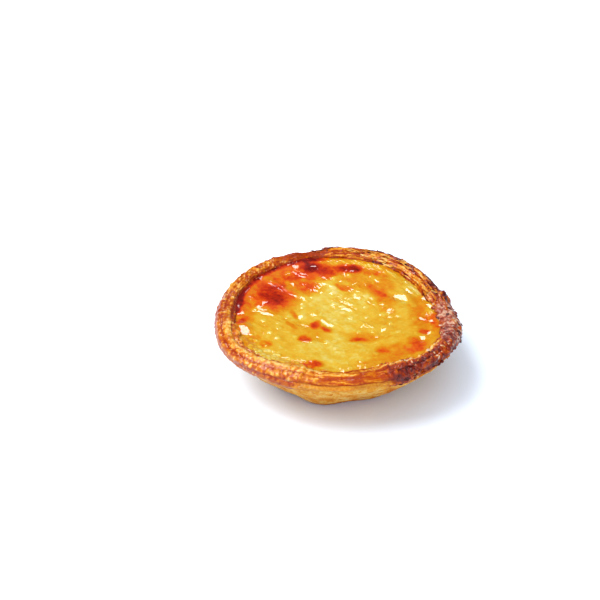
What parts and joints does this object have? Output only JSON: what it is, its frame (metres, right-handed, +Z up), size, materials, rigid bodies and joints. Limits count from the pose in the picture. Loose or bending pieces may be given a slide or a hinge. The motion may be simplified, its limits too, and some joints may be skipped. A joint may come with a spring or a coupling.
{
  "type": "egg tart",
  "caption": "Shallow round tart: a cup of flaky laminated pastry with a rolled, uneven rim, filled with glossy baked egg custard scorched in spots on top.",
  "frame": {"origin": "middle of the footprint, on the flat base that the tart rests on", "axes": "+Z up out of the filling, -Y towards the front"},
  "size_m": [0.0796, 0.0802, 0.023],
  "materials": {
    "baked_pastry": "flaky baked puff pastry, golden brown to dark brown, glazed in places",
    "egg_custard": "glossy baked egg custard, yellow to orange, scorched in spots"
  },
  "bodies": {
    "root": {"pastry_shell": "baked_pastry", "custard": "egg_custard"}
  },
  "joints": []
}
